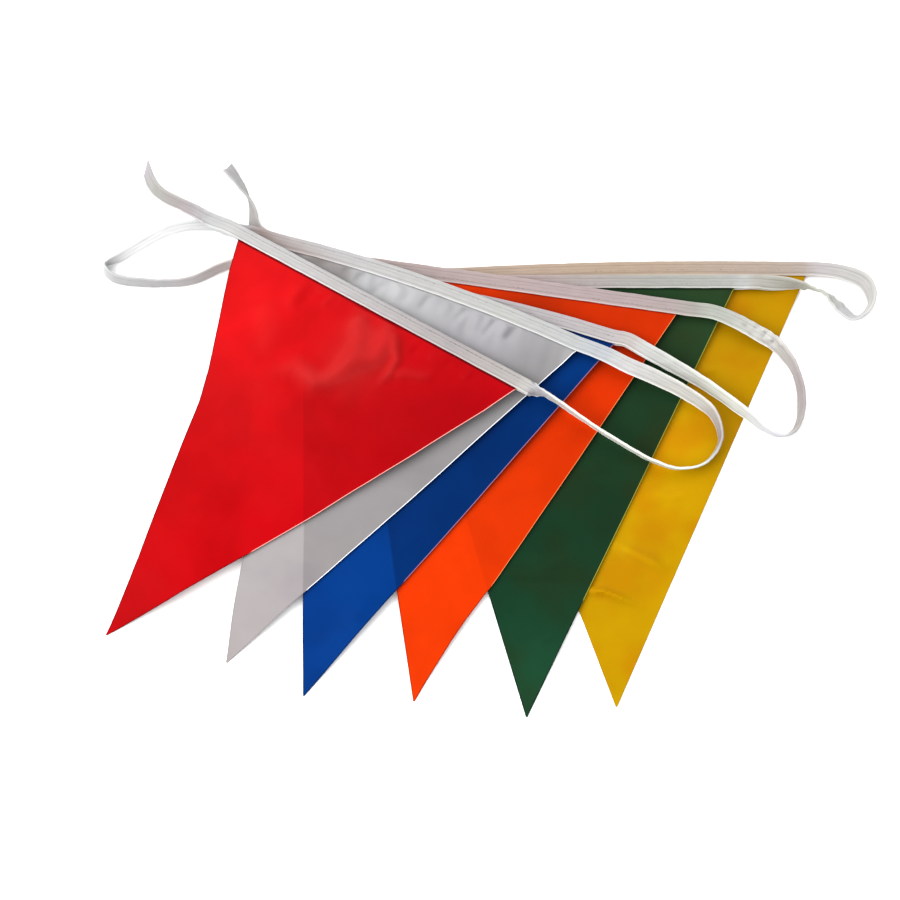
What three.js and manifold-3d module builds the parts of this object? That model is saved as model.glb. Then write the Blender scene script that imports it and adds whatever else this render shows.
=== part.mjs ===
// Pennant bunting: plastic film pennants sewn into one long folded tape.
// The string is folded back and forth and laid down, so the pennants lie on each other as a fan,
// tips towards -Y, and the free tape between them turns round in slack loops at both sides.
// Millimetres, +Z up. The surface it lies on is z = 0, and the origin is under the middle of the fan.

import * as THREE from "three";
import { mergeVertices } from "three/addons/utils/BufferGeometryUtils.js";
import Module from "manifold-3d";

const wasm = await Module();
wasm.setup();

// ---- Driving sizes ----------------------------------------------------------------------------

const FILM = 1.0; // thickness of a pennant
const PLY = 1.0; // thickness of one layer of the tape
const GAP = 0.32; // clearance between the film and the tape that holds it
const TAPE_WIDTH = 9.2; // the tape as folded in half lengthwise
const SEWN_DEPTH = 7.4; // how far the film's top edge runs up into the fold
const LEVEL = 4.0; // rise from one folded-back heading to the next
const HEADING_THICK = 2 * PLY + FILM + 2 * GAP; // two layers of tape with film between them
const LOOP_THICK = 2 * PLY; // two layers of tape alone
const BOTTOM_HEADING = HEADING_THICK / 2; // height of the lowest heading's middle
const TIP_WIDTH = 0.8; // the pennants' cut points
const RUN_OUT = 2.0; // full-thickness tape past each corner of the film
const TAPER = 5.0; // length in which the tape then thins to two layers
const LOOP_STEP = 5.5; // spacing of the tape's sections in the loops

// One row for each pennant, top of the pile first. x and y run to the right and away from the tips.
// left and right are the corners where the film leaves the tape. bow is how far the heading's middle
// lies above the straight line between them.
const PENNANTS = [
  { name: "red", tip: [-208, -109], left: [-130.5, 133], right: [41.5, 30.5], bow: 0 },
  { name: "white", tip: [-133, -126], left: [-111, 130], right: [77.5, 54], bow: 4.7 },
  { name: "blue", tip: [-86, -145.5], left: [-88, 105.5], right: [99.5, 58.5], bow: 5.5 },
  { name: "orange", tip: [-21, -149], left: [-61, 115.5], right: [137.5, 77.5], bow: 0 },
  { name: "green", tip: [44, -158], left: [-33, 102.5], right: [172.5, 93.5], bow: 0 },
  { name: "yellow", tip: [95, -152.5], left: [2, 107.2], right: [216, 101.5], bow: 2 },
];

// Edges that are not quite straight as they lie. by is how far the edge is moved along the heading, to
// the right, at a share of the way from the tip to the heading's corner.
const EDGE_SHIFTS = {
  red: {
    left: [
      { share: 0, by: 0 }, { share: 0.05, by: 1.6 }, { share: 0.15, by: 5 },
      { share: 0.2, by: 6 }, { share: 0.3, by: 6.1 }, { share: 0.5, by: 7.2 },
      { share: 0.6, by: 9 }, { share: 0.68, by: 8.5 }, { share: 0.76, by: 6.3 },
      { share: 0.84, by: 3.5 }, { share: 0.92, by: 1.2 }, { share: 1, by: 0 },
    ],
    right: [
      { share: 0, by: 0 }, { share: 0.05, by: 0.7 }, { share: 0.15, by: 2.4 },
      { share: 0.5, by: 2.8 }, { share: 0.6, by: 2.3 }, { share: 0.92, by: 1.7 },
      { share: 1, by: 0 },
    ],
  },
  white: {
    left: [
      { share: 0, by: 0 }, { share: 0.05, by: 0.5 }, { share: 0.1, by: 1.3 },
      { share: 0.2, by: 3.9 }, { share: 0.3, by: 5.6 }, { share: 0.6, by: 4 },
      { share: 1, by: 0 },
    ],
  },
  orange: {
    right: [
      { share: 0, by: 0 }, { share: 0.05, by: -1 }, { share: 0.15, by: -1.8 },
      { share: 0.2, by: -1.8 }, { share: 0.3, by: -0.3 }, { share: 0.4, by: 0 },
      { share: 1, by: 0 },
    ],
  },
};

// Height of a film above its own tip: a first step where it climbs on its neighbour, then a level
// stretch, then a rise to its heading. Places are shares of the way from the tip to the heading.
const FIRST_STEP = 1.75; // height of the step, for each level
const FIRST_STEP_END = 0.2;
const RISE_START = 0.42;
const TAPE_LIFT_START = 0.8; // where the film starts to rise to the middle of its own tape


// The soft troughs and ridges that the whole pile shares
const WAVE_HEIGHT = 0.8;
const WAVE_LENGTH = 96;
const WAVE_TURN = THREE.MathUtils.degToRad(28);

// Middle line of the tape where it is free: one row for each bend, in the order of the string. lean
// turns the tape about its own length: at 0 its open, sewn edge is to the right of travel, at 90
// straight down and at 180 to the left.
const FREE_TAPE = {
  startEnd: [
    { x: -199, y: 192.4, z: 4.4, lean: 36 },
    { x: -195.3, y: 182.7, z: 5.2, lean: 33 },
    { x: -188.2, y: 174.5, z: 7.2, lean: 40 },
    { x: -173.3, y: 164.5, z: 11.6, lean: 50 },
    { x: -158.1, y: 154.6, z: 16, lean: 31 },
    { x: -147.9, y: 148.1, z: 19, lean: 14 },
  ],
  redToWhite: [
    { x: 53.3, y: 29.8, z: 19.8, lean: 60 },
    { x: 58.5, y: 28, z: 18.8, lean: 84 },
    { x: 90, y: 6, z: 14.6, lean: 91 },
    { x: 121.5, y: -12.5, z: 9, lean: 93 },
    { x: 136, y: -16.5, z: 6.8, lean: 100 },
    { x: 151, y: -13, z: 6.4, lean: 100 },
    { x: 160, y: 0, z: 6.5, lean: 98 },
    { x: 157.5, y: 13.5, z: 8, lean: 108 },
    { x: 149, y: 22.5, z: 10.6, lean: 124 },
    { x: 127, y: 35.5, z: 14, lean: 142 },
    { x: 113, y: 42, z: 16, lean: 165 },
  ],
  whiteToBlue: [
    { x: -139.5, y: 145.5, z: 10.5, lean: 160 },
    { x: -151, y: 150.5, z: 6.6, lean: 138 },
    { x: -172, y: 151.5, z: 4.7, lean: 128 },
    { x: -187.5, y: 147, z: 4.6, lean: 130 },
    { x: -213, y: 132.5, z: 4.8, lean: 110 },
    { x: -223.6, y: 127, z: 4.8, lean: 66 },
    { x: -217.6, y: 118.8, z: 4.8, lean: 60 },
    { x: -186, y: 113.2, z: 5, lean: 78 },
    { x: -166, y: 114, z: 5, lean: 80 },
    { x: -141, y: 123.5, z: 5.2, lean: 74 },
    { x: -130, y: 122, z: 8.2, lean: 52 },
    { x: -113, y: 116.5, z: 12, lean: 22 },
  ],
  blueToOrange: [
    { x: 124, y: 51, z: 12.6, lean: 24 },
    { x: 149.5, y: 35.5, z: 9.2, lean: 54 },
    { x: 172, y: 18.5, z: 7, lean: 60 },
    { x: 188, y: 5, z: 5.2, lean: 86 },
    { x: 196.5, y: 2, z: 5, lean: 100 },
    { x: 203.5, y: 6, z: 5, lean: 102 },
    { x: 208, y: 22, z: 5, lean: 109 },
    { x: 206, y: 40, z: 5, lean: 103 },
    { x: 196.5, y: 56, z: 6.8, lean: 128 },
    { x: 183, y: 66, z: 7.7, lean: 172 },
    { x: 162, y: 77.5, z: 9, lean: 180 },
  ],
  orangeToGreen: [
    { x: -80, y: 117, z: 8.2, lean: 164 },
    { x: -87, y: 105, z: 6.1, lean: 112 },
    { x: -86, y: 78, z: 5.2, lean: 88 },
    { x: -76.5, y: 60, z: 5.2, lean: 84 },
    { x: -68.5, y: 72, z: 5.2, lean: 80 },
    { x: -66, y: 88, z: 5, lean: 68 },
    { x: -58, y: 101, z: 4.8, lean: 35 },
  ],
  greenToYellow: [
    { x: 188, y: 97.4, z: 5.9, lean: 0 },
    { x: 209, y: 94, z: 7.6, lean: 76 },
    { x: 218.5, y: 91.7, z: 6.4, lean: 104 },
    { x: 226.5, y: 88.5, z: 5, lean: 118 },
    { x: 234, y: 80, z: 4.8, lean: 150 },
    { x: 240.4, y: 73.6, z: 5, lean: 136 },
    { x: 246, y: 74, z: 5, lean: 108 },
    { x: 252.5, y: 83, z: 5, lean: 103 },
    { x: 249.5, y: 95.5, z: 4.2, lean: 140 },
    { x: 238, y: 102.5, z: 2.4, lean: 178 },
  ],
  finishEnd: [
    { x: -12.5, y: 113.8, z: 1.5, lean: 180 },
    { x: -51, y: 120.5, z: 1.2, lean: 180 },
    { x: -89.5, y: 131, z: 1.3, lean: 180 },
    { x: -112.5, y: 139.5, z: 1.7, lean: 178 },
    { x: -124.7, y: 148.3, z: 3.6, lean: 152 },
    { x: -126.6, y: 159.2, z: 5, lean: 130 },
    { x: -129.6, y: 167.9, z: 5.4, lean: 100 },
    { x: -132.9, y: 174.4, z: 5.4, lean: 70 },
    { x: -139.1, y: 183.9, z: 4.7, lean: 48 },
    { x: -145.3, y: 192.5, z: 4.2, lean: 26 },
  ],
};

// ---- Shared helpers ---------------------------------------------------------------------------

const smooth = (share) => THREE.MathUtils.smoothstep(share, 0, 1);
const UP = new THREE.Vector3(0, 0, 1);

// Levels count headings from the bottom of the pile.
const levelOf = (pennant) => PENNANTS.length - 1 - PENNANTS.indexOf(pennant);
const headingHeight = (pennant) => BOTTOM_HEADING + LEVEL * levelOf(pennant);

// Height of the middle of a film; share is 0 at the tip and 1 at the tape.
function filmHeight(share, level) {
  const climb = FIRST_STEP * smooth(share / FIRST_STEP_END);
  const rise = (LEVEL - FIRST_STEP) * smooth((share - RISE_START) / (1 - RISE_START));
  const tapeLift = (BOTTOM_HEADING - FILM / 2) * smooth((share - TAPE_LIFT_START) / (1 - TAPE_LIFT_START));
  return FILM / 2 + level * (climb + rise) + tapeLift;
}

// The shared wave depends only on the place, so films on each other stay parallel.
function waveHeight(point, share) {
  const along = point.x * Math.cos(WAVE_TURN) + point.y * Math.sin(WAVE_TURN);
  const swell = 0.5 + 0.5 * Math.sin((2 * Math.PI * along) / WAVE_LENGTH);
  return WAVE_HEIGHT * swell * smooth(share / 0.35) * (1 - smooth((share - 0.7) / 0.25));
}

// A closed body from rows of top points and rows of bottom points of the same counts.
function closedSheet(top, bottom) {
  const rows = top.length;
  const columns = top[0].length;
  const lastRow = rows - 1;
  const lastColumn = columns - 1;
  const positions = [];
  for (const side of [top, bottom]) {
    side.forEach((row) => row.forEach((point) => positions.push(point.x, point.y, point.z)));
  }
  const over = (row, column) => row * columns + column;
  const under = (row, column) => rows * columns + over(row, column);
  const triangles = [];
  const quad = (a, b, c, d) => triangles.push(a, b, c, a, c, d);
  for (let row = 0; row < lastRow; row++) {
    const next = row + 1;
    for (let column = 0; column < lastColumn; column++) {
      quad(over(row, column), over(row, column + 1), over(next, column + 1), over(next, column));
      quad(under(row, column), under(next, column), under(next, column + 1), under(row, column + 1));
    }
    quad(over(row, 0), over(next, 0), under(next, 0), under(row, 0));
    quad(over(next, lastColumn), over(row, lastColumn), under(row, lastColumn), under(next, lastColumn));
  }
  for (let column = 0; column < lastColumn; column++) {
    const next = column + 1;
    quad(over(0, next), over(0, column), under(0, column), under(0, next));
    quad(over(lastRow, column), over(lastRow, next), under(lastRow, next), under(lastRow, column));
  }
  const geometry = new THREE.BufferGeometry();
  geometry.setAttribute("position", new THREE.Float32BufferAttribute(positions, 3));
  geometry.setIndex(triangles);
  return geometry;
}

function toManifold(geometry) {
  const welded = mergeVertices(geometry, 1e-4);
  const vertProperties = new Float32Array(welded.attributes.position.array);
  const triVerts = new Uint32Array(welded.index.array);
  return new wasm.Manifold(new wasm.Mesh({ numProp: 3, vertProperties, triVerts }));
}

function toGeometry(solid) {
  const mesh = solid.getMesh();
  const geometry = new THREE.BufferGeometry();
  geometry.setAttribute("position", new THREE.BufferAttribute(new Float32Array(mesh.vertProperties), 3));
  geometry.setIndex(Array.from(mesh.triVerts));
  return geometry;
}

// ---- Pennants ---------------------------------------------------------------------------------

const FILM_SHARES = [0, 0.05, 0.1, 0.15, 0.2, 0.3, 0.4, 0.5, 0.6, 0.68, 0.76, 0.84, 0.92, 1];
const FILM_COLUMNS = 6;

// The heading's own directions: along it from the left corner to the right, and up into the tape.
function headingAxes(pennant) {
  const left = new THREE.Vector2(...pennant.left);
  const right = new THREE.Vector2(...pennant.right);
  const along = right.clone().sub(left).normalize();
  const up = new THREE.Vector2(-along.y, along.x);
  return { left, right, along, up };
}

const bowAt = (pennant, across) => pennant.bow * 4 * across * (1 - across);

// A point on the line where the film leaves the tape, moved up into the tape by rise.
function headingPoint(pennant, across, rise) {
  const { left, right, up } = headingAxes(pennant);
  return left.clone().lerp(right, across).addScaledVector(up, rise + bowAt(pennant, across));
}

function edgeShift(pennant, side, share) {
  const rows = EDGE_SHIFTS[pennant.name]?.[side];
  if (!rows) return 0;
  const next = Math.max(1, rows.findIndex((row) => row.share >= share));
  const [from, to] = [rows[next - 1], rows[next]];
  return THREE.MathUtils.mapLinear(share, from.share, to.share, from.by, to.by);
}

// A point of the film in plan: share from tip to tape, across from the left edge to the right.
function filmPoint(pennant, share, across) {
  const { left, right, along, up } = headingAxes(pennant);
  const tip = new THREE.Vector2(...pennant.tip);
  const tipLeft = tip.clone().addScaledVector(along, -TIP_WIDTH / 2);
  const tipRight = tip.clone().addScaledVector(along, TIP_WIDTH / 2);
  const onLeft = tipLeft.lerp(left, share).addScaledVector(along, edgeShift(pennant, "left", share));
  const onRight = tipRight.lerp(right, share).addScaledVector(along, edgeShift(pennant, "right", share));
  return onLeft.lerp(onRight, across).addScaledVector(up, bowAt(pennant, across) * share);
}

function pennantSheet(pennant) {
  const level = levelOf(pennant);
  const top = [];
  const bottom = [];
  const addRow = (pointAt, heightAt) => {
    const points = Array.from({ length: FILM_COLUMNS + 1 }, (_, column) => pointAt(column / FILM_COLUMNS));
    top.push(points.map((p) => new THREE.Vector3(p.x, p.y, heightAt(p) + FILM / 2)));
    bottom.push(points.map((p) => new THREE.Vector3(p.x, p.y, heightAt(p) - FILM / 2)));
  };
  for (const share of FILM_SHARES) {
    const base = filmHeight(share, level);
    const wave = (point) => (level > 0 ? waveHeight(point, share) : 0);
    addRow((across) => filmPoint(pennant, share, across), (point) => base + wave(point));
  }
  addRow((across) => headingPoint(pennant, across, SEWN_DEPTH), () => headingHeight(pennant));
  return closedSheet(top, bottom);
}

// The space that one film takes up inside the tape, with its clearance all round.
function slotInTape(pennant) {
  const { left, right } = headingAxes(pennant);
  const spare = GAP / left.distanceTo(right);
  const middle = headingHeight(pennant);
  const half = FILM / 2 + GAP;
  const rows = [-TAPE_WIDTH / 4, SEWN_DEPTH + GAP].map((rise) =>
    Array.from({ length: FILM_COLUMNS + 1 }, (_, column) => {
      const across = -spare + (1 + 2 * spare) * (column / FILM_COLUMNS);
      return headingPoint(pennant, across, rise);
    }),
  );
  const atHeight = (z) => rows.map((row) => row.map((p) => new THREE.Vector3(p.x, p.y, z)));
  return closedSheet(atHeight(middle + half), atHeight(middle - half));
}

// ---- Tape -------------------------------------------------------------------------------------

// Stations of the tape along one heading, from its left end to its right. It is kept straight and
// level a little way past the film's corners, where it thins from four layers' height to two.
function headingStations(pennant, lean) {
  const { left, right } = headingAxes(pennant);
  const length = left.distanceTo(right);
  const straight = { ...pennant, bow: 0 };
  const held = Array.from({ length: FILM_COLUMNS + 1 }, (_, i) => (length * i) / FILM_COLUMNS);
  const places = [
    { at: -(RUN_OUT + TAPER), thick: LOOP_THICK },
    { at: -RUN_OUT, thick: HEADING_THICK },
    ...held.map((at) => ({ at, thick: HEADING_THICK })),
    { at: length + RUN_OUT, thick: HEADING_THICK },
    { at: length + RUN_OUT + TAPER, thick: LOOP_THICK },
  ];
  return places.map(({ at, thick }) => {
    const across = at / length;
    const bow = bowAt(pennant, THREE.MathUtils.clamp(across, 0, 1));
    const point = headingPoint(straight, across, TAPE_WIDTH / 2 + bow);
    return { x: point.x, y: point.y, z: headingHeight(pennant), lean, thick };
  });
}

// All stations in order, from one free end of the tape to the other. Every second heading is
// travelled from right to left.
function tapeStations() {
  const [startEnd, ...loops] = Object.values(FREE_TAPE).map((rows) =>
    rows.map((row) => ({ ...row, thick: LOOP_THICK, free: true })),
  );
  const stations = [...startEnd];
  PENNANTS.forEach((pennant, index) => {
    const backwards = index % 2 === 1;
    const heading = headingStations(pennant, backwards ? 180 : 0);
    stations.push(...(backwards ? heading.reverse() : heading), ...loops[index]);
  });
  return stations;
}

// The tape's sections: one at each station of a heading, and evenly spaced ones in the loops.
function tapeSections() {
  const stations = tapeStations();
  const points = stations.map((s) => new THREE.Vector3(s.x, s.y, s.z));
  const curve = new THREE.CatmullRomCurve3(points, false, "centripetal");
  const spans = stations.length - 1;
  const between = (key, span, share) =>
    THREE.MathUtils.lerp(stations[span][key], stations[span + 1][key], share);
  const sectionAt = (span, share) => ({
    centre: curve.getPoint((span + share) / spans),
    tangent: curve.getTangent((span + share) / spans),
    lean: THREE.MathUtils.degToRad(between("lean", span, share)),
    thick: between("thick", span, share),
  });
  const sections = [];
  for (let span = 0; span < spans; span++) {
    const free = stations[span].free || stations[span + 1].free;
    const length = points[span].distanceTo(points[span + 1]);
    const steps = free ? Math.ceil(length / LOOP_STEP) : 1;
    for (let step = 0; step < steps; step++) {
      sections.push(sectionAt(span, step / steps));
    }
  }
  sections.push(sectionAt(spans - 1, 1));
  return sections;
}

function tapeBody() {
  const top = [];
  const bottom = [];
  for (const { centre, tangent, lean, thick } of tapeSections()) {
    const toRight = new THREE.Vector3().crossVectors(tangent, UP).normalize();
    const lift = new THREE.Vector3().crossVectors(toRight, tangent);
    const width = toRight.multiplyScalar(Math.cos(lean)).addScaledVector(lift, -Math.sin(lean));
    const face = new THREE.Vector3().crossVectors(tangent, width);
    const corner = (across, through) =>
      centre
        .clone()
        .addScaledVector(width, (across * TAPE_WIDTH) / 2)
        .addScaledVector(face, (through * thick) / 2);
    top.push([corner(1, 1), corner(-1, 1)]);
    bottom.push([corner(1, -1), corner(-1, -1)]);
  }
  return closedSheet(top, bottom);
}

function headerTape() {
  let solid = toManifold(tapeBody());
  for (const pennant of PENNANTS) {
    solid = solid.subtract(toManifold(slotInTape(pennant)));
  }
  return toGeometry(solid);
}

// ---- Materials and assembly -------------------------------------------------------------------

const TAPE_COLOUR = "#e6e6e2";
const FILM_COLOURS = {
  red: "#e3151c",
  white: "#d4d3d4",
  blue: "#003d8f",
  orange: "#f04a08",
  green: "#14492f",
  yellow: "#dca302",
};

const bunting = new THREE.Group();

function addPiece(name, geometry, color, roughness) {
  const material = new THREE.MeshStandardMaterial({ color, roughness, metalness: 0 });
  const piece = new THREE.Mesh(geometry, material);
  piece.name = name;
  bunting.add(piece);
}

addPiece("header_tape", headerTape(), TAPE_COLOUR, 0.7);
for (const pennant of PENNANTS) {
  addPiece(`pennant_${pennant.name}`, pennantSheet(pennant), FILM_COLOURS[pennant.name], 0.35);
}

// The fan is set out from a corner of its own, so it is moved to stand over the origin.
const bounds = new THREE.Box3().setFromObject(bunting);
const middle = bounds.getCenter(new THREE.Vector3());
bunting.position.set(-middle.x, -middle.y, -bounds.min.z);
bunting.updateMatrixWorld(true);

export default bunting;
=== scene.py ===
import math

import bpy
import numpy as np
from mathutils import Matrix, Vector


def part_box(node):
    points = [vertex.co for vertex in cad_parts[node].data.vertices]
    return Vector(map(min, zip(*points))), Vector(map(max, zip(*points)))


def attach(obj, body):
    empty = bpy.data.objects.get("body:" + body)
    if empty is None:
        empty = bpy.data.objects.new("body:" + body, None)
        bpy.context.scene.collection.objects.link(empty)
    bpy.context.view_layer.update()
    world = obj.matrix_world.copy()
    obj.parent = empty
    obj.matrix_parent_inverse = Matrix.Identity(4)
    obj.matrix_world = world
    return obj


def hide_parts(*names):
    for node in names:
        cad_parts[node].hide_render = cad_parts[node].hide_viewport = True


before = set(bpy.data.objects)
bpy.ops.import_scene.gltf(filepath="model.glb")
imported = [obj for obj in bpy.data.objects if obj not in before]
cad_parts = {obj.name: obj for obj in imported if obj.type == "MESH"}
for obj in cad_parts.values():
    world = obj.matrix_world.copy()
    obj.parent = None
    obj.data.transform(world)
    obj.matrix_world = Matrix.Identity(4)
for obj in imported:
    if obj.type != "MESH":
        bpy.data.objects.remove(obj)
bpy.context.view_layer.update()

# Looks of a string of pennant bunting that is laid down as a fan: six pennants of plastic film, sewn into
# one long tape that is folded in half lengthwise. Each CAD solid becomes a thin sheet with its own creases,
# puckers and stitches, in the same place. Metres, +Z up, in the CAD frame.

# ---- Sizes, as in the CAD ----

TAPE_WIDTH = 0.0092  # as folded
SEWN_DEPTH = 0.0074  # how far the film runs up into the tape's fold
LEVEL = 0.004  # rise from one heading to the next
BOTTOM_HEADING = 0.00182  # height of the lowest heading's middle
CAD_FILM = 0.001  # thickness of the CAD's films
TIP_WIDTH = 0.0008  # each tip is cut off this wide
RUN_OUT = 0.002  # full-thickness tape past each corner of the film
TAPER = 0.005  # length in which the tape then thins
FIRST_STEP = 0.00175  # what each film below lifts a film by, near its tip
HELD_STATIONS = 7  # stations of the tape along one heading

# Shares of the way up from a film's tip
FIRST_STEP_END = 0.2
RISE_START = 0.42  # of the climb over the headings below
TAPE_LIFT_START = 0.8  # of the rise to the middle of its own heading
WAVE_GROWS = 0.35
WAVE_FADES_FROM = 0.7
WAVE_FADES = 0.25

# The long wave that the films share
WAVE_HEIGHT = 0.0008
WAVE_LENGTH = 0.096
WAVE_TURN = math.radians(28)

# ---- Sizes of the thin sheets ----

FILM_THICK = 0.0003
FLOOR_GAP = 0.00005  # between the floor and the films
FILM_GRID = {"red": (180, 180), "white": (180, 180), "yellow": (240, 150)}  # rows and columns of points
PLAIN_FILM_GRID = (160, 112)
ROWS_CROWD = 1.35  # how much closer the rows come near the tape
SEWN_ROWS = 4  # rows of points inside the tape's fold
RIM = 0.0008  # width of the line along a cut edge
WIDEST_RIM = 0.2  # its largest share of the film's width
PLY = 0.00042  # one layer of the tape
SECTION_STEP = 0.002  # spacing of the tape's sections
BLENDED_SECTIONS = 4  # on each side of one, whose colours are blended with its own
TAPE_OVERLAP = 0.0006  # how far one layer's cut edge shows past the other's

# Half of the folded tape's thickness: without film in it, and what film adds
HALF_AT_EDGE = (0.00055, 0.00025)
HALF_AT_FOLD = (0.00078, 0.00037)

# Places across the tape, from its open edge towards its fold, at which its section is worked out
LAYER_PLACES = (
    0.0038, 0.0030, 0.0026, 0.0022, 0.0014, 0.0006, 0.0, -0.0006, -0.0013, -0.0020, -0.0024, -0.0028,
)
FOLD_TURNS = (-60, -30, 0, 30, 60)  # degrees round the fold
GROOVES = ((0.0026, 0.00010), (0.0, 0.00005), (-0.0020, 0.00010))  # place across and depth
GROOVE_HALF_WIDTH = 0.00030

# How the tape's two ends are cut: which section, slant, and how far back
END_CUTS = ((0, 0.8, 0.0015), (-1, 0.5, 0.0010))

# Fine unevenness of the films and then of the tape: height, wavelength and seed
CRINKLES = ((0.00020, 0.040, 5), (0.00002, 0.013, 6))
BUCKLE = (0.00007, 0.011, 31)
TURNING_BUCKLE = (0.00022, 0.0055, 32)  # where the fold is about TURNING_FULL full
TURNING_FULL = 0.4
TURNING_SPREAD = 0.35
CRUMPLE_RIPPLE = (1.0, 0.0042, 34)
EDGE_WANDER = (0.00010, 0.021, 33)  # sideways

# Crumpled places of the tape: stretch, first and last share of its length, and height
CRUMPLE_ENDS = 0.04  # share of the length in which the crumpling begins or ends
CRUMPLES = [
    ("start_end", 0.78, 1.0, 0.00045),
    ("red_to_white", 0.0, 0.06, 0.0005),
    ("blue_to_orange", 0.0, 0.05, 0.0004),
    ("blue_to_orange", 0.78, 0.97, 0.00055),
    ("green_to_yellow", 0.1, 0.5, 0.0003),
]

# One row for each pennant, top of the pile first, placed as in the CAD, in millimetres
PENNANT_COLUMNS = ("name", "tip", "left", "right", "bow")
PENNANT_ROWS = [
    ("red", (-208, -109), (-130.5, 133), (41.5, 30.5), 0),
    ("white", (-133, -126), (-111, 130), (77.5, 54), 4.7),
    ("blue", (-86, -145.5), (-88, 105.5), (99.5, 58.5), 5.5),
    ("orange", (-21, -149), (-61, 115.5), (137.5, 77.5), 0),
    ("green", (44, -158), (-33, 102.5), (172.5, 93.5), 0),
    ("yellow", (95, -152.5), (2, 107.2), (216, 101.5), 2),
]

# Edges that are not quite straight as they lie, as in the CAD: share of the way up from the tip, and
# shift along the heading in millimetres
EDGE_SHIFTS = {
    ("red", "left"): [
        (0, 0), (0.05, 1.6), (0.15, 5), (0.2, 6), (0.3, 6.1), (0.5, 7.2), (0.6, 9), (0.68, 8.5),
        (0.76, 6.3), (0.84, 3.5), (0.92, 1.2), (1, 0),
    ],
    ("red", "right"): [(0, 0), (0.05, 0.7), (0.15, 2.4), (0.5, 2.8), (0.6, 2.3), (0.92, 1.7), (1, 0)],
    ("white", "left"): [(0, 0), (0.05, 0.5), (0.1, 1.3), (0.2, 3.9), (0.3, 5.6), (0.6, 4), (1, 0)],
    ("orange", "right"): [(0, 0), (0.05, -1), (0.15, -1.8), (0.2, -1.8), (0.3, -0.3), (0.4, 0), (1, 0)],
}

# Colour of each film at its tip, and at the left and right ends of its heading. The change between them
# is partly the film's own colour and partly painted light and shade.
FILM_COLOURS = {
    "red": "#950004 #970a0c #930108", "white": "#847e7e #818283 #807f80",
    "blue": "#002965 #002863 #00275f", "orange": "#b02900 #ae2700 #ac2500",
    "green": "#0b2a1a #112916 #162915", "yellow": "#957200 #946f00 #936b00",
}

# Painted lines along each film's cut edges: painted shade, but a painted highlight on the upper part of
# most right edges: share of the way up past which the right one is light, factor of the dark ones, and
# colour of the light one
RIM_CHANGES = 0.03  # share in which it turns light
RIMS = {
    "red": (0.33, 0.45, "#e29a92"),
    "white": (0.21, 0.85, "#e4e5eb"),
    "blue": (0.30, 0.50, "#876180"),
    "orange": (0.27, 0.55, "#c06d3f"),
    "green": (0.24, 0.40, "#818330"),
    "yellow": (1.10, 0.92, "#ad8b16"),
}

# Painted shade of the tape on each film just below it: factor of the film's colour there, and between
# which depths that fades
TAPE_SHADE_REACH = (0.0003, 0.0011)
TAPE_SHADE_TONES = {"red": 0.35, "white": 0.85, "blue": 0.6, "orange": 0.65, "green": 0.45, "yellow": 0.8}

# Colour of the faint cloudy patches in each film, as a multiple of its own
CLOUD_TINTS = {
    "red": (0.90, 0.8, 0.8), "white": (0.94, 0.93, 0.96), "blue": (1.0, 0.84, 0.86),
    "orange": (0.93, 0.90, 1.0), "green": (1.35, 0.84, 0.74), "yellow": (0.97, 0.80, 0.9),
}

# Painted highlight on the raised creases of some films: share of the pale colour on the highest creases,
# and that colour in linear RGB
CREASE_HIGHLIGHTS = {"red": (0.020, (0.90, 0.42, 0.36)), "yellow": (0.06, (1.0, 0.80, 0.0))}
FULL_HIGHLIGHT_HEIGHT = 0.0035  # height of a crease from which it is palest
HIGHLIGHT_SHARPNESS = 1.5

# The tan light beside the top heading, on the pennant below and its heading: the line that it follows
# in the pennants' layout, its half width, its tint, and the share lost by the line's end
GLOWING_PENNANT = "white"
GLOW_LINE = ((-0.117, 0.1373), (-0.0633, 0.11))
GLOW_HALF_WIDTH = 0.0058
GLOW_TINT = (0.74, 0.63, 0.60)
GLOW_LOSS = 0.4

# Films and the lower pennants whose left edges show through them: factor of the film's colour past those
SHOWS_THROUGH = {
    ("red", "white"): 1.03, ("red", "blue"): 0.85, ("white", "blue"): 0.76, ("blue", "orange"): 0.66,
    ("orange", "green"): 0.90,
}
SHOWN_BLUR = 0.0006  # half of the width in which the colour changes
SHOWN_FULLY_BELOW = 0.015  # y, in the pennants' layout, from which the change fades towards the tape
SHOWN_LEAST_ABOVE = 0.050  # y from which only SHOWN_LEAST of it is left
SHOWN_LEAST = 0.15

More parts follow.
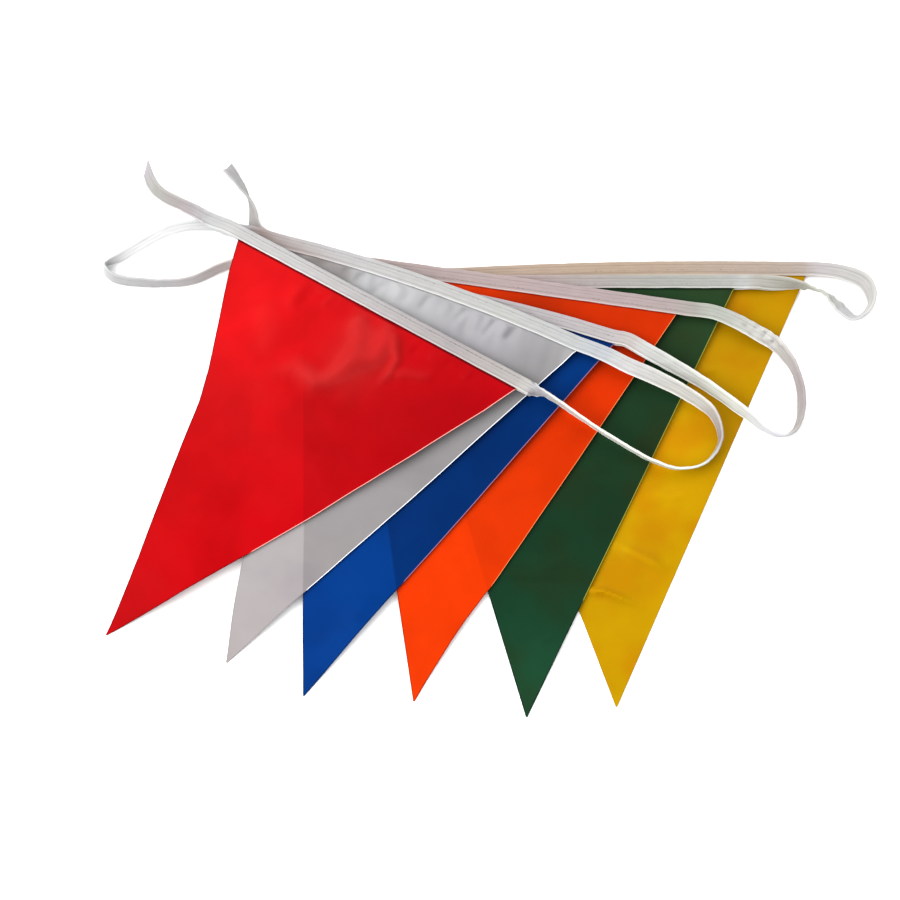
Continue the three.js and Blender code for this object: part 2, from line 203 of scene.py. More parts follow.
# The main creases in millimetres, one row for each: the places that it runs through, its half-width and
# its height, which is below 0 for a trough. A place is a distance along the heading from its left
# corner, then down from the tape.
CREASES = {
    "red": [
        (((106, 4), (108, 30), (94, 55)), 20, 2.8),
        (((92, 4), (102, 20), (103, 30), (102, 40)), 6.5, 2.8),
        (((110, 0), (118, 12), (117, 24), (106, 33), (97, 49), (91, 53),
          (75, 51), (66, 58), (63, 70)), 6.5, 3.6),
        (((121, 7), (129, 19), (129, 28), (126, 39)), 2.8, 2.1),
        (((131, 29), (138, 23), (150, 19), (151, 11)), 3.6, 1.5),
        (((62, 2), (60, 10), (58, 22)), 5.5, -1.1),
        (((74, 1), (68, 12)), 3, 0.9),
        (((136, 4), (135, 13)), 2.8, -0.7),
        (((146, 4), (146, 10)), 2.8, 0.6),
        (((158, 4), (157, 10)), 2.8, -0.4),
        (((33, 24), (49, 40), (54, 58)), 9, 1.6),
        (((51, 6), (51, 25)), 5, 1),
        (((171, 4), (169, 11)), 2.4, 0.5),
    ],
    "white": [
        (((53, -7), (51, 2)), 2, -0.8),
        (((64, -5), (59, 6)), 2.2, -1.3),
        (((78, -1), (73, 9)), 2.4, -1.2),
        (((90, -3), (89, 7)), 3, 1),
        (((96, -3), (94, 7)), 2.2, -0.7),
        (((108, -4), (104, 9)), 2.4, -1.3),
        (((121, -3), (117, 9)), 3.4, 1),
        (((132, -4), (127, 9)), 2.2, -1.6),
        (((141, -2), (139, 10)), 3.2, 1.1),
        (((151, -3), (147, 12)), 2.1, -1.9),
        (((158, -2), (156, 9)), 2.8, 1),
        (((165, -3), (160, 9)), 2.1, -1.9),
        (((183, -2), (190, -2)), 1.6, -0.7),
    ],
    "blue": [
        (((96, 141), (110, 136)), 3.5, 0.4),
        (((79, 194), (90, 181)), 4, 0.4),
    ],
    "orange": [(((86, 167), (104, 165)), 2.5, 0.3)],
    "green": [
        (((70, 180), (82, 180), (97, 180), (118, 180)), 2, -1.1),
        (((88, 166), (100, 170), (112, 166)), 2.4, 0.8),
        (((71, 200), (85, 197)), 2, -0.4),
        (((93, 216), (104, 209)), 2, 0.4),
    ],
    "yellow": [
        (((82, 191), (93, 192), (101, 195), (108, 198), (114, 199)), 2.2, 2.6),
        (((101, 165), (111, 170), (121, 175), (132, 182)), 3.4, 2.2),
        (((121, 133), (133, 136), (144, 133)), 2.6, 0.7),
        (((150, 60), (162, 57)), 2.6, 0.6),
    ],
}

# A crease's ends: its share of its height there, and the share of its length in which it grows
FIRST_END = (0.4, 0.2)
LAST_END = (0.1, 0.4)

# Small puckers that sewing draws up under the tape, in millimetres: height, spacing along it and reach
PUCKER_SEED = 20  # of the lowest pennant; each one above has the next
PUCKER_STRETCH = 0.25  # they are four times as long down the film as across it
RELIEF_STARTS = 0.0025  # depth from which creases and puckers have their whole height
PUCKERS = {
    "red": (0.16, 12, 10), "white": (0.6, 13, 20), "blue": (0.2, 10, 10),
    "orange": (0.25, 12, 10), "green": (0.2, 10, 10), "yellow": (0.2, 12, 10),
}

# Painted light and shade on each film, as soft lighter and darker places: distance along the heading and
# down from it and radius, in millimetres, and factor
TONES = {
    "red": [
        (30, 34, 38, 1.33), (120, 8, 16, 1.10), (168, 42, 44, 0.85), (38, 108, 24, 0.91),
        (55, 226, 30, 0.89),
    ],
    "white": [
        (48, -4, 15, 0.84), (78, 0, 30, 1.30), (128, 4, 22, 1.10), (184, 18, 18, 0.78),
        (152, 100, 20, 0.90), (108, 112, 20, 1.10), (96, -3, 11, 1.11), (155, 0, 14, 1.17),
    ],
    "blue": [(168, 6, 16, 0.82), (166, 50, 15, 1.18), (131, 120, 22, 0.87), (56, 196, 26, 1.08)],
    "orange": [(118, 8, 34, 0.58), (184, 6, 28, 0.78), (136, 60, 24, 1.22)],
    "green": [
        (190, 18, 28, 1.38), (134, 138, 22, 0.85), (90, 146, 16, 0.87), (151, 110, 12, 1.20),
        (96, 240, 36, 1.58),
    ],
    "yellow": [(131, 114, 26, 1.28), (192, 50, 30, 0.92)],
}

# The route of the free tape, in the order of the string, as in the CAD: x, y and z in millimetres, and
# lean in degrees
FREE_TAPE = {
    "start_end": [
        (-199, 192.4, 4.4, 36), (-195.3, 182.7, 5.2, 33), (-188.2, 174.5, 7.2, 40),
        (-173.3, 164.5, 11.6, 50), (-158.1, 154.6, 16, 31), (-147.9, 148.1, 19, 14),
    ],
    "red_to_white": [
        (53.3, 29.8, 19.8, 60), (58.5, 28, 18.8, 84), (90, 6, 14.6, 91), (121.5, -12.5, 9, 93),
        (136, -16.5, 6.8, 100), (151, -13, 6.4, 100), (160, 0, 6.5, 98), (157.5, 13.5, 8, 108),
        (149, 22.5, 10.6, 124), (127, 35.5, 14, 142), (113, 42, 16, 165),
    ],
    "white_to_blue": [
        (-139.5, 145.5, 10.5, 160), (-151, 150.5, 6.6, 138), (-172, 151.5, 4.7, 128),
        (-187.5, 147, 4.6, 130), (-213, 132.5, 4.8, 110), (-223.6, 127, 4.8, 66), (-217.6, 118.8, 4.8, 60),
        (-186, 113.2, 5, 78), (-166, 114, 5, 80), (-141, 123.5, 5.2, 74), (-130, 122, 8.2, 52),
        (-113, 116.5, 12, 22),
    ],
    "blue_to_orange": [
        (124, 51, 12.6, 24), (149.5, 35.5, 9.2, 54), (172, 18.5, 7, 60), (188, 5, 5.2, 86),
        (196.5, 2, 5, 100), (203.5, 6, 5, 102), (208, 22, 5, 109), (206, 40, 5, 103), (196.5, 56, 6.8, 128),
        (183, 66, 7.7, 172), (162, 77.5, 9, 180),
    ],
    "orange_to_green": [
        (-80, 117, 8.2, 164), (-87, 105, 6.1, 112), (-86, 78, 5.2, 88), (-76.5, 60, 5.2, 84),
        (-68.5, 72, 5.2, 80), (-66, 88, 5, 68), (-58, 101, 4.8, 35),
    ],
    "green_to_yellow": [
        (188, 97.4, 5.9, 0), (209, 94, 7.6, 76), (218.5, 91.7, 6.4, 104), (226.5, 88.5, 5, 118),
        (234, 80, 4.8, 150), (240.4, 73.6, 5, 136), (246, 74, 5, 108), (252.5, 83, 5, 103),
        (249.5, 95.5, 4.2, 140), (238, 102.5, 2.4, 178),
    ],
    "finish_end": [
        (-12.5, 113.8, 1.5, 180), (-51, 120.5, 1.2, 180), (-89.5, 131, 1.3, 180), (-112.5, 139.5, 1.7, 178),
        (-124.7, 148.3, 3.6, 152), (-126.6, 159.2, 5, 130), (-129.6, 167.9, 5.4, 100),
        (-132.9, 174.4, 5.4, 70), (-139.1, 183.9, 4.7, 48), (-145.3, 192.5, 4.2, 26),
    ],
}

# The tape's colour along each stretch, evenly spaced from its first station to its last; its lighter and
# darker stretches are painted light and shade
TAPE_COLOURS = {
    "start_end": "#8b868b #80807a #827a7c #8e9090",
    "red": "#969594 #929090 #827c7c #9b9993",
    "red_to_white": "#909099 #c7c8be #b8c4bc #827979 #b3b1ab #a3a2a1",
    "white": "#93969a #929290 #919090 #827b79",
    "white_to_blue": "#939598 #bebfc0 #deddde #969898 #908e8f #a69e9c #a8a1a0",
    "blue": "#a5a19f #827979 #8b8688 #98928f",
    "blue_to_orange": "#a2a3a1 #c2c4bb #b0b1b8 #827d79 #827979 #a9a7a3 #8a8d85",
    "orange": "#837f79 #877878 #877977 #90837f",
    "orange_to_green": "#a5a19e #a5a19e",
    "green": "#a29e92 #877171 #80807b #949594",
    "green_to_yellow": "#86847d #99998f #a0a0a1 #9e9d9a #969492",
    "yellow": "#969191 #8b7e73 #8c7a68 #8c7a6b #938880",
    "finish_end": "#8d8884 #9b9390 #7f7f7d #8b898a",
}

# One heading's fold is in its own shade: place across past which it is, factor, and the shares of the
# heading from which and in which it grows
SHADED_HEADING = "red"
FOLD_SHADE_FROM = -0.0042
FOLD_SHADE = 0.35
FOLD_SHADE_GROWS = (0.25, 0.15)

# The tape's weave and grooves, with painted shade along the grooves
WARP_PITCH = 0.0005
WEFT_PITCH = 0.00044
GROOVE_SHADOW = 0.0004  # half width of the darker line along a groove
GROOVE_DARKNESS = 2800  # per metre of the groove's depth

# Painted highlights, where the tape is lighter: from and to which place, and by what factor
BRIGHT_EDGE = (0.0005, 0.0010, 1.45)  # from the open edge
BRIGHT_FOLD = (-0.0042, -0.0036, 1.15)  # across the tape

# Distance of the seam from the tape's fold in millimetres, for each heading
SEAM_FROM_FOLD = {"red": 2.6, "white": 3, "blue": 4.6, "orange": 6.6, "green": 6, "yellow": 5.8}
FULL_FROM = 0.99  # how full the fold is wherever it is sewn
STITCH_PITCH = 0.0029
STITCH_LENGTH = 0.0019
THREAD_RADIUS = 0.00020
THREAD_SINKS = 0.00008  # how deep each thread's middle lies in the tape

# Thread colour as a multiple of the tape's, darker by painted shade of the stitch holes, most on the red
# heading; and the range of each stitch's own factor
THREAD_TONES = {"red": 0.42, "white": 0.72, "blue": 0.72, "orange": 0.7, "green": 0.72, "yellow": 0.7}
THREAD_UNEVENNESS = (0.9, 1.5)
THREAD_SEED = 41

# ---- Numbers of the studio ----

CAMERA_DISTANCE = 0.755
CAMERA_BACK = (0.1094, -0.2346, 0.9659)  # above the fan and a little towards its tips

# Name, direction, size, power and colour
LIGHTS = (
    ("key", (-0.80, -0.14, 0.78), 2.2, 60, (1.0, 0.99, 0.97)),
    ("fill", (0.05, 0.75, 0.75), 2.4, 32, (1.0, 1.0, 1.0)),
)
LIGHT_DISTANCE = 2.2

# How bright the studio is, from low over the floor to overhead
STUDIO_BRIGHTNESS = {"From Min": 0.30, "From Max": 0.93, "To Min": 0.575, "To Max": 1.725}
FLOOR_REACH = 12.0


# ---- Helpers ----

def smooth(x):
    """From 0 to 1 as x does, level at both ends."""
    x = np.clip(x, 0.0, 1.0)
    return x * x * (3 - 2 * x)


def linear(colour):
    """Linear RGB of a #rrggbb colour."""
    parts = [int(colour[i:i + 2], 16) / 255 for i in (1, 3, 5)]
    return np.array([c / 12.92 if c <= 0.04045 else ((c + 0.055) / 1.055) ** 2.4 for c in parts])


def metres(lengths):
    """A length, or a nest of lengths, in metres from millimetres."""
    return [metres(length) for length in lengths] if isinstance(lengths, (list, tuple)) else lengths / 1000


def ripple(u, v, wavelength, seed, waves=10):
    """Smooth unevenness of about unit height: waves of random directions and nearly one length."""
    random = np.random.default_rng(seed)
    total = np.zeros(np.broadcast(u, v).shape)
    for _ in range(waves):
        turn = random.uniform(0, math.pi)
        rate = 2 * math.pi / (wavelength * random.uniform(0.65, 1.6))
        total += np.sin(rate * (u * math.cos(turn) + v * math.sin(turn)) + random.uniform(0, 2 * math.pi))
    return total / math.sqrt(waves / 2)


def line_at(x, y, start, end):
    """How far along a line each place is nearest to it, from 0 to 1, and how far away."""
    step = (end[0] - start[0], end[1] - start[1])
    x = x - start[0]
    y = y - start[1]
    part = np.clip((x * step[0] + y * step[1]) / (step[0] ** 2 + step[1] ** 2), 0, 1)
    return part, np.hypot(x - part * step[0], y - part * step[1])


def ruffle(u, v, row):
    """The ripple that a row of height, wavelength and seed describes."""
    height, wavelength, seed = row
    return height * ripple(u, v, wavelength, seed)


def mesh_object(name, points, faces, smooth_angle=40):
    mesh = bpy.data.meshes.new(name)
    mesh.from_pydata(points.tolist(), [], faces.tolist())
    mesh.polygons.foreach_set("use_smooth", [True] * len(mesh.polygons))
    mesh.set_sharp_from_angle(angle=math.radians(smooth_angle))
    mesh.update()
    piece = bpy.data.objects.new(name, mesh)
    bpy.context.scene.collection.objects.link(piece)
    return piece


def grid_faces(index, closed_rows=False):
    """Quads over a grid of point numbers; closed_rows joins each row's last point to its first."""
    if closed_rows:
        index = np.concatenate([index, index[:, :1]], axis=1)
    corners = [index[:-1, :-1], index[:-1, 1:], index[1:, 1:], index[1:, :-1]]
    return np.stack([c.ravel() for c in corners], axis=1)


def set_colours(piece, name, colours):
    layer = piece.data.color_attributes.new(name, "FLOAT_COLOR", "POINT")
    rgba = np.concatenate([colours, np.ones((len(colours), 1))], axis=1)
    layer.data.foreach_set("color", rgba.ravel())


def set_values(piece, name, values):
    layer = piece.data.attributes.new(name, "FLOAT", "POINT")
    layer.data.foreach_set("value", values.ravel())


# ---- Places on a pennant ----

PENNANTS = [dict(zip(PENNANT_COLUMNS, (row[0], *metres(row[1:])))) for row in PENNANT_ROWS]


def level_of(pennant):
    """0 for the lowest pennant, and one more for each above it."""
    return len(PENNANTS) - 1 - PENNANTS.index(pennant)


def heading_height(pennant):
    return BOTTOM_HEADING + LEVEL * level_of(pennant)


def heading_axes(pennant):
    """A heading's left and right corners, directions along it and up from it, and its length."""
    left = np.array(pennant["left"])
    right = np.array(pennant["right"])
    length = np.linalg.norm(right - left)
    along = (right - left) / length
    return left, right, along, np.array([-along[1], along[0]]), length


def plan_shift():
    """From the pennants' own layout to the CAD frame: where the top pennant's tip lies in both."""
    top = PENNANTS[0]
    tip = np.array(top["tip"]) - heading_axes(top)[2] * TIP_WIDTH / 2
    return np.array(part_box("pennant_" + top["name"])[0][:2]) - tip


SHIFT = plan_shift()


def bow_at(pennant, across):
    return pennant["bow"] * 4 * across * (1 - across)


def heading_plan(pennant, across, rise):
    left, right, _, up, _ = heading_axes(pennant)
    return left + (right - left) * across[..., None] + up * (rise + bow_at(pennant, across))[..., None]


def edge_shift(pennant, side, share):
    rows = EDGE_SHIFTS.get((pennant["name"], side), [(0, 0), (1, 0)])
    return np.interp(share, [row[0] for row in rows], metres([row[1] for row in rows]))


def film_plan(pennant, share, across):
    """Places on a film, by the share of the way up from its tip and the share across it."""
    left, right, along, up, _ = heading_axes(pennant)
    tip = np.array(pennant["tip"])
    share = share[..., None]
    across = across[..., None]
    tip_left = tip - along * TIP_WIDTH / 2
    tip_right = tip + along * TIP_WIDTH / 2
    on_left = tip_left + (left - tip_left) * share + along * edge_shift(pennant, "left", share)
    on_right = tip_right + (right - tip_right) * share + along * edge_shift(pennant, "right", share)
    return on_left + (on_right - on_left) * across + up * bow_at(pennant, across) * share


def places_on(pennant, plan):
    """For each place, its distance along the heading, down from it, and below the tape's bowed edge."""
    left, _, along, up, length = heading_axes(pennant)
    across = (plan - left) @ along
    down = -(plan - left) @ up
    return across, down, down + bow_at(pennant, np.clip(across / length, 0, 1))


# ---- Shape of the films ----

def film_height(share, level):
    climb = FIRST_STEP * smooth(share / FIRST_STEP_END)
    rise = (LEVEL - FIRST_STEP) * smooth((share - RISE_START) / (1 - RISE_START))
    tape_lift = (BOTTOM_HEADING - CAD_FILM / 2) * smooth((share - TAPE_LIFT_START) / (1 - TAPE_LIFT_START))
    return CAD_FILM / 2 + level * (climb + rise) + tape_lift


def shared_wave(plan, share, level):
    """Unevenness that depends on the place alone, so sheets on each other stay parallel."""
    x = plan[..., 0]
    y = plan[..., 1]
    distance = x * math.cos(WAVE_TURN) + y * math.sin(WAVE_TURN)
    swell = WAVE_HEIGHT * (0.5 + 0.5 * np.sin(2 * math.pi * distance / WAVE_LENGTH)) if level else 0
    crinkle = sum(ruffle(x, y, row) for row in CRINKLES)
    fade = 1 - smooth((share - WAVE_FADES_FROM) / WAVE_FADES)
    return (swell + crinkle) * smooth(share / WAVE_GROWS) * fade


def grown(distance, length, end):
    """Share of its full height that a crease has at a distance from one of its ends."""
    least, reach = end
    return least + (1 - least) * smooth(distance / (reach * length))


def crease_shape(places, half_width, across, down):
    """A crease's share of its height along its line, and its profile across it."""
    nearest = np.full(across.shape, np.inf)
    gone = np.zeros(across.shape)
    reached = 0
    for start, end in zip(places, places[1:]):
        part, away = line_at(across, down, start, end)
        gone = np.where(away < nearest, reached + part * math.dist(start, end), gone)
        nearest = np.minimum(nearest, away)
        reached += math.dist(start, end)
    fade = grown(gone, reached, FIRST_END) * grown(reached - gone, reached, LAST_END)
    return fade, np.exp(-((nearest / half_width) ** 2))


def crease_relief(pennant, plan):
    """Height of the main creases, and of the small puckers under the tape."""
    across, down, below_tape = places_on(pennant, plan)
    relief = np.zeros(across.shape)
    for places, half_width, height in metres(CREASES[pennant["name"]]):
        fade, profile = crease_shape(places, half_width, across, down)
        relief += height * fade * profile
    height, spacing, reach = metres(PUCKERS[pennant["name"]])
    pucker = height * ripple(across, down * PUCKER_STRETCH, spacing, PUCKER_SEED + level_of(pennant))
    relief += pucker * np.exp(-np.clip(below_tape, 0, None) / reach)
    return relief * smooth(below_tape / RELIEF_STARTS)


def rim_spacing(width, columns):
    """Shares across a sheet of this width, with one column of points close inside each cut edge."""
    inner = min(RIM / width, WIDEST_RIM)
    return np.concatenate([[0], np.linspace(inner, 1 - inner, columns - 1), [1]])


def film_grid(pennant):
    """Share of the way up from the tip and share across the film, for each point below the tape."""
    length = heading_axes(pennant)[-1]
    rows, columns = FILM_GRID.get(pennant["name"], PLAIN_FILM_GRID)
    shares = 1 - (1 - np.linspace(0, 1, rows)) ** ROWS_CROWD
    widths = TIP_WIDTH + (length - TIP_WIDTH) * shares
    across = np.array([rim_spacing(width, columns) for width in widths])
    return np.repeat(shares[:, None], across.shape[1], axis=1), across


def film_middle(pennant, share, across, creases):
    """The film's middle surface in the CAD frame, and on into the tape's fold."""
    level = level_of(pennant)
    plan = film_plan(pennant, share, across)
    height = film_height(share, level) + shared_wave(plan, share, level) + creases
    height = np.maximum(height, FLOOR_GAP + FILM_THICK / 2)
    rows = [np.concatenate([plan, height[..., None]], axis=2)]
    for rise in np.linspace(0, SEWN_DEPTH, SEWN_ROWS + 1)[1:]:
        row = heading_plan(pennant, across[-1], rise)
        heights = np.full((len(row), 1), heading_height(pennant))
        rows.append(np.concatenate([row, heights], axis=1)[None])
    middle = np.concatenate(rows)
    middle[..., :2] += SHIFT
    return middle


def sheet_faces(rows, columns):
    """Faces of a closed sheet: an upper grid of points, a lower one, and a wall round both."""
    over = np.arange(rows * columns).reshape(rows, columns)
    under = over + rows * columns
    edge = np.concatenate([over[0], over[1:, -1], over[-1, -2::-1], over[-2:0:-1, 0]])
    wall = np.stack([edge, edge + rows * columns], axis=1)
    wall = grid_faces(np.concatenate([wall, wall[:1]]))
    return np.concatenate([grid_faces(over), grid_faces(under)[:, ::-1], wall])


# ---- Colours of the films ----

# Painted light and shade: the factor of each place's colour from the lighter and darker places
def tone_at(pennant, plan):
    across, down, _ = places_on(pennant, plan)
    tone = np.ones(across.shape)
    for *spot, factor in TONES[pennant["name"]]:
        x, y, radius = metres(spot)
        tone += (factor - 1) * np.exp(-((across - x) ** 2 + (down - y) ** 2) / radius ** 2)
    return tone


def with_glow(colours, plan):
    """These colours in the tan light beside the top heading."""
    part, away = line_at(plan[..., 0], plan[..., 1], *GLOW_LINE)
    glow = np.exp(-((away / GLOW_HALF_WIDTH) ** 2)) * (1 - GLOW_LOSS * part)
    return colours * (1 - glow[..., None] * (1 - np.array(GLOW_TINT)))


def film_colours(pennant, share, across, plan, creases):
    name = pennant["name"]
    from_tip = share[..., None]
    to_right = across[..., None]
    at_tip, at_left, at_right = (linear(colour) for colour in FILM_COLOURS[name].split())
    colours = at_tip * (1 - from_tip) + (at_left * (1 - to_right) + at_right * to_right) * from_tip
    colours = np.clip(colours * tone_at(pennant, plan)[..., None], 0, 0.95)
    # Painted highlight on the raised creases
    highlight_share, highlight_colour = CREASE_HIGHLIGHTS.get(name, (0.0, (0.0, 0.0, 0.0)))
    highlighted = highlight_share * np.clip(creases / FULL_HIGHLIGHT_HEIGHT, 0, 1) ** HIGHLIGHT_SHARPNESS
    colours = colours + highlighted[..., None] * (np.array(highlight_colour) - colours)
    return with_glow(colours, plan) if name == GLOWING_PENNANT else colours


def rim_values(pennant, share):
    """0 inside the film, -1 along a cut edge that is dark, and 1 along one that is light."""
    light_from = RIMS[pennant["name"]][0]
    rim = np.zeros(share.shape)
    rim[:, 0] = -1
    rim[:, -1] = 2 * smooth((share[:, -1] - light_from) / RIM_CHANGES) - 1
    return rim


def film_sheet(pennant):
    share, across = film_grid(pennant)
    creases = crease_relief(pennant, film_plan(pennant, share, across))
    middle = film_middle(pennant, share, across, creases)
    rows, columns = middle.shape[:2]
    offset = np.array([0, 0, FILM_THICK / 2])
    points = np.concatenate([middle + offset, middle - offset]).reshape(-1, 3)
    piece = mesh_object("film_" + pennant["name"], points, sheet_faces(rows, columns))
    share = np.concatenate([share, np.ones((SEWN_ROWS, columns))])
    across = np.concatenate([across, np.tile(across[-1], (SEWN_ROWS, 1))])
    creases = np.concatenate([creases, np.zeros((SEWN_ROWS, columns))])
    plan = middle[..., :2] - SHIFT
    colours = film_colours(pennant, share, across, plan, creases)
    set_colours(piece, "film_colour", np.tile(colours.reshape(-1, 3), (2, 1)))
    set_values(piece, "rim", np.tile(rim_values(pennant, share).ravel(), 2))
    set_values(piece, "below_tape", np.tile(places_on(pennant, plan)[2].ravel(), 2))
    piece.data.materials.append(film_material(pennant))
    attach(piece, "root")
    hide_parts("pennant_" + pennant["name"])
    return piece


# ---- Tape ----

def heading_stations(pennant, lean):
    """The tape's stations along a heading, from left to right: x, y, z, lean and how full its fold is."""
    left, _, along, up, length = heading_axes(pennant)
    held = [length * i / (HELD_STATIONS - 1) for i in range(HELD_STATIONS)]
    places = [(-(RUN_OUT + TAPER), 0.0), (-RUN_OUT, 1.0)] + [(at, 1.0) for at in held]
    places += [(length + RUN_OUT, 1.0), (length + RUN_OUT + TAPER, 0.0)]
    stations = []
    for at, full in places:
        bow = bow_at(pennant, min(max(at / length, 0), 1))
        x, y = left + along * at + up * (TAPE_WIDTH / 2 + bow)
        stations.append((x, y, heading_height(pennant), lean, full))
    return stations


def free_stations(stretch):
    return [(*metres(row[:3]), row[3], 0.0, stretch) for row in FREE_TAPE[stretch]]


def tape_stations():
    """All stations of the tape: x, y, z, lean, how full its fold is and the name of its stretch."""
    names = list(FREE_TAPE)
    stations = free_stations(names[0])
    for i, pennant in enumerate(PENNANTS):
        backwards = i % 2 == 1
        heading = heading_stations(pennant, 180 if backwards else 0)
        stations += [(*row, pennant["name"]) for row in (heading[::-1] if backwards else heading)]
        stations += free_stations(names[i + 1])
    return stations


def curve_span(p0, p1, p2, p3, t):
    """Point and direction on the centripetal Catmull-Rom span from p1 to p2."""
    d0, d1, d2 = (math.sqrt(np.linalg.norm(b - a)) for a, b in ((p0, p1), (p1, p2), (p2, p3)))
    m1 = ((p1 - p0) / d0 - (p2 - p0) / (d0 + d1) + (p2 - p1) / d1) * d1
    m2 = ((p2 - p1) / d1 - (p3 - p1) / (d1 + d2) + (p3 - p2) / d2) * d1
    c2 = -3 * p1 + 3 * p2 - 2 * m1 - m2
    c3 = 2 * p1 - 2 * p2 + m1 + m2
    return p1 + m1 * t + c2 * t * t + c3 * t ** 3, m1 + 2 * c2 * t + 3 * c3 * t * t


def evenly(colours, share):
    """The colour at a share of the way through colours that are evenly spaced."""
    place = min(max(share, 0), 1) * (len(colours) - 1)
    first = min(int(place), len(colours) - 2)
    start = linear(colours[first])
    return start + (linear(colours[first + 1]) - start) * (place - first)


def blended(colours):
    """Each section's colour, blended with those of its neighbours."""
    weights = np.exp(-np.linspace(-2, 2, 2 * BLENDED_SECTIONS + 1) ** 2)
    weights = weights / weights.sum()
    channels = [np.pad(channel, BLENDED_SECTIONS, "edge") for channel in colours.T]
    return np.stack([np.convolve(channel, weights, "valid") for channel in channels], axis=1)


def tape_sections():
    """Arrays with a row for each of the tape's evenly spaced cross-sections."""
    stations = tape_stations()
    points = [np.array(s[:3]) for s in stations]
    points = [2 * points[0] - points[1]] + points + [2 * points[-1] - points[-2]]
    names = [s[5] for s in stations]
    rows = []
    for i in range(len(stations) - 1):
        steps = max(1, round(np.linalg.norm(points[i + 2] - points[i + 1]) / SECTION_STEP))
        for step in range(steps + (i == len(stations) - 2)):
            t = step / steps
            centre, tangent = curve_span(*points[i:i + 4], t)
            lean, full = (stations[i][k] * (1 - t) + stations[i + 1][k] * t for k in (3, 4))
            name = names[i] if t < 0.5 else names[i + 1]
            share = (i + t - names.index(name)) / max(names.count(name) - 1, 1)
            colour = evenly(TAPE_COLOURS[name].split(), share)
            rows.append((centre, tangent / np.linalg.norm(tangent), lean, full, colour, name, share))
    centre, tangent, lean, full, colour, name, share = (np.array(column) for column in zip(*rows))
    lean = np.radians(lean)[:, None]
    to_right = np.cross(tangent, (0, 0, 1))
    to_right /= np.linalg.norm(to_right, axis=1, keepdims=True)
    width = to_right * np.cos(lean) - np.cross(to_right, tangent) * np.sin(lean)
    at = np.concatenate([[0], np.cumsum(np.linalg.norm(np.diff(centre, axis=0), axis=1))])
    return dict(at=at, centre=centre, tangent=tangent, width=width, face=np.cross(tangent, width),
                full=full, colour=blended(colour), name=name, share=share)


def half_thickness(place, full):
    """Half of the folded tape's thickness: more at the fold, and more where film is sewn in."""
    towards_fold = smooth((TAPE_WIDTH / 2 - place) / TAPE_WIDTH)
    edge = HALF_AT_EDGE[0] + HALF_AT_EDGE[1] * full
    fold = HALF_AT_FOLD[0] + HALF_AT_FOLD[1] * full
    return edge + (fold - edge) * towards_fold


def groove_depth(place):
    return sum(depth * math.exp(-(((place - at) / GROOVE_HALF_WIDTH) ** 2)) for at, depth in GROOVES)


def tape_outline(full):
    """Outside and inside of the tape's section, from one open edge round the fold to the other."""
    outside = []
    inside = []
    edge = TAPE_WIDTH / 2
    for place in [edge - TAPE_OVERLAP] + list(LAYER_PLACES):
        half = half_thickness(place, full)
        outside.append((place, -half + groove_depth(place)))
        inside.append((place, -half + PLY))
    radius = half_thickness(-edge, full)
    for turn in FOLD_TURNS:
        c = math.cos(math.radians(turn))
        s = math.sin(math.radians(turn))
        outside.append((-edge + radius * (1 - c), radius * s))
        inside.append((-edge + radius - (radius - PLY) * c, (radius - PLY) * s))
    for place in reversed([edge] + list(LAYER_PLACES)):
        half = half_thickness(place, full)
        outside.append((place, half - groove_depth(place)))
        inside.append((place, half - PLY))
    return np.array(outside), np.array(inside)


def crumpling(sections):
    """Height of the crumpling at each section."""
    share = sections["share"]
    total = np.zeros(share.shape)
    for stretch, first, last, height in CRUMPLES:
        begun = smooth((share - first) / CRUMPLE_ENDS)
        total += height * (sections["name"] == stretch) * begun * smooth((last - share) / CRUMPLE_ENDS)
    return total


def tape_points(sections, ring):
    """The tape's points in the CAD frame: buckled and crumpled rings, and ends cut aslant."""
    across = ring[..., 0]
    at = np.repeat(sections["at"][:, None], ring.shape[1], axis=1)
    full = sections["full"][:, None]
    turning = np.exp(-((full - TURNING_FULL) / TURNING_SPREAD) ** 2)
    buckle = ruffle(at, across, BUCKLE) + turning * ruffle(at, across, TURNING_BUCKLE)
    buckle += crumpling(sections)[:, None] * ruffle(at, across, CRUMPLE_RIPPLE)
    through = ring[..., 1] + buckle
    across = across + ruffle(at, 0 * at, EDGE_WANDER) * (0.4 + 0.6 * (1 - full))
    points = (sections["centre"][:, None] + sections["width"][:, None] * across[..., None]
              + sections["face"][:, None] * through[..., None])
    for end, slant, back in END_CUTS:
        points[end] += sections["tangent"][end] * (across[end] * slant - back)[:, None]
    points[..., :2] += SHIFT
    return points


def tape_faces(count, size):
    """Faces of a closed tube of this many rings of this size."""
    index = np.arange(count * size).reshape(count, -1)
    half = size // 2
    start, end = (np.stack([row[:half], row[:half - 1:-1]], axis=1) for row in (index[0], index[-1]))
    skin = grid_faces(index, closed_rows=True)[:, ::-1]
    return np.concatenate([skin, grid_faces(start), grid_faces(end)[:, ::-1]])


def tape_colours(sections, ring, points):
    begun = smooth((sections["share"] - FOLD_SHADE_GROWS[0]) / FOLD_SHADE_GROWS[1])
    shaded = (sections["name"] == SHADED_HEADING) * (0.2 + 0.8 * begun)
    fold = shaded[:, None] * (ring[..., 0] < FOLD_SHADE_FROM)
    colours = sections["colour"][:, None] * (1 - (1 - FOLD_SHADE) * fold)[..., None]
    glowing = (sections["name"] == GLOWING_PENNANT)[:, None, None]
    return np.where(glowing, with_glow(colours, points[..., :2] - SHIFT), colours)


